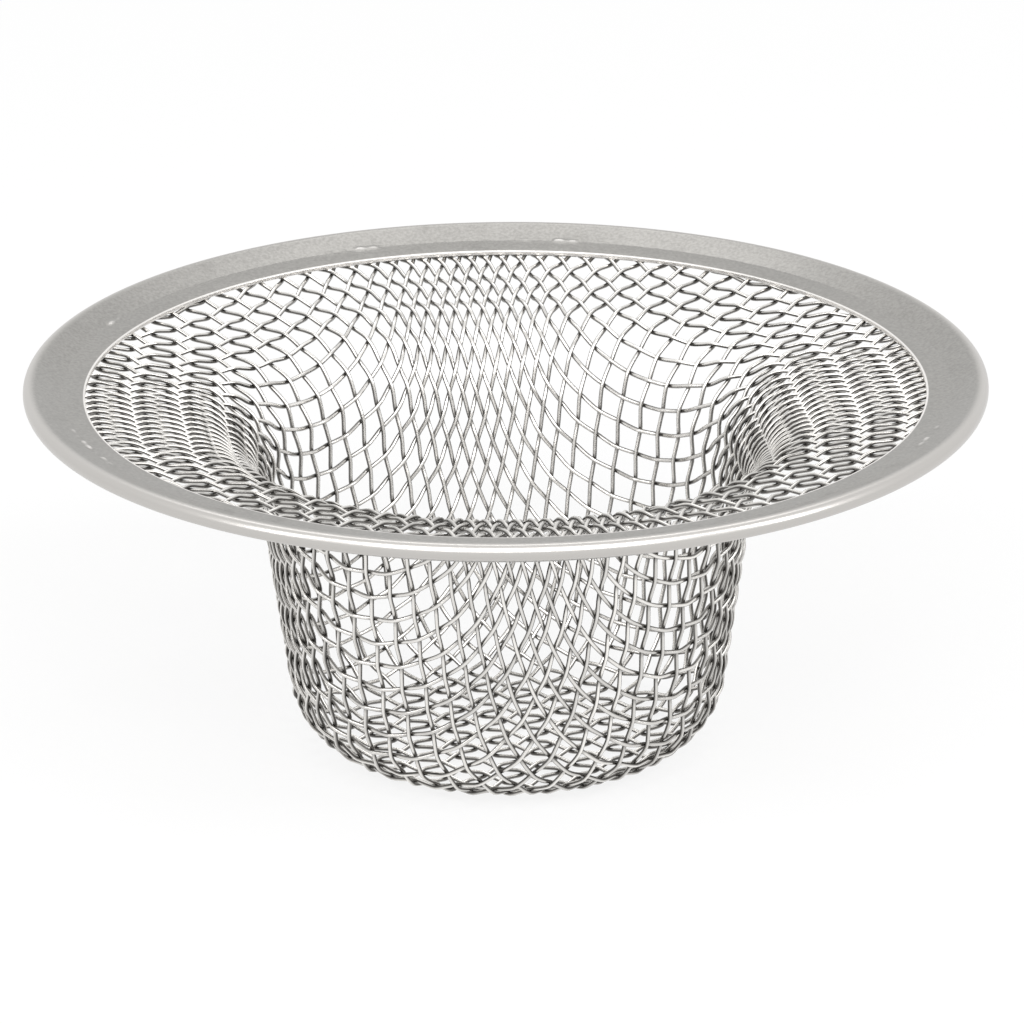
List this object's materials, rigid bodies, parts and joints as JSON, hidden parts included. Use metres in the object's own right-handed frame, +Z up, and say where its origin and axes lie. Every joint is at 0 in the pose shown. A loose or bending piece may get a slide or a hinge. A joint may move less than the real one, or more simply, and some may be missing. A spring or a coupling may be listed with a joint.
{
  "type": "hair catcher",
  "caption": "Drain hair catcher: a woven wire mesh basket with a flat bottom, tapered wall and wide flange, its edge gripped in a folded sheet metal rim.",
  "frame": {"origin": "centre of the basket's flat bottom, on the surface it stands on", "axes": "+Z up along the axis of the rim and basket, out of the open mouth; -Y is the front of the picture, where the mesh is on the bias"},
  "size_m": [0.07, 0.07, 0.0284],
  "materials": {
    "rim_steel": "satin rolled stainless sheet",
    "wire_steel": "bright drawn stainless wire"
  },
  "bodies": {
    "root": {"rim_ring": "rim_steel", "mesh_basket": "wire_steel"}
  },
  "joints": []
}
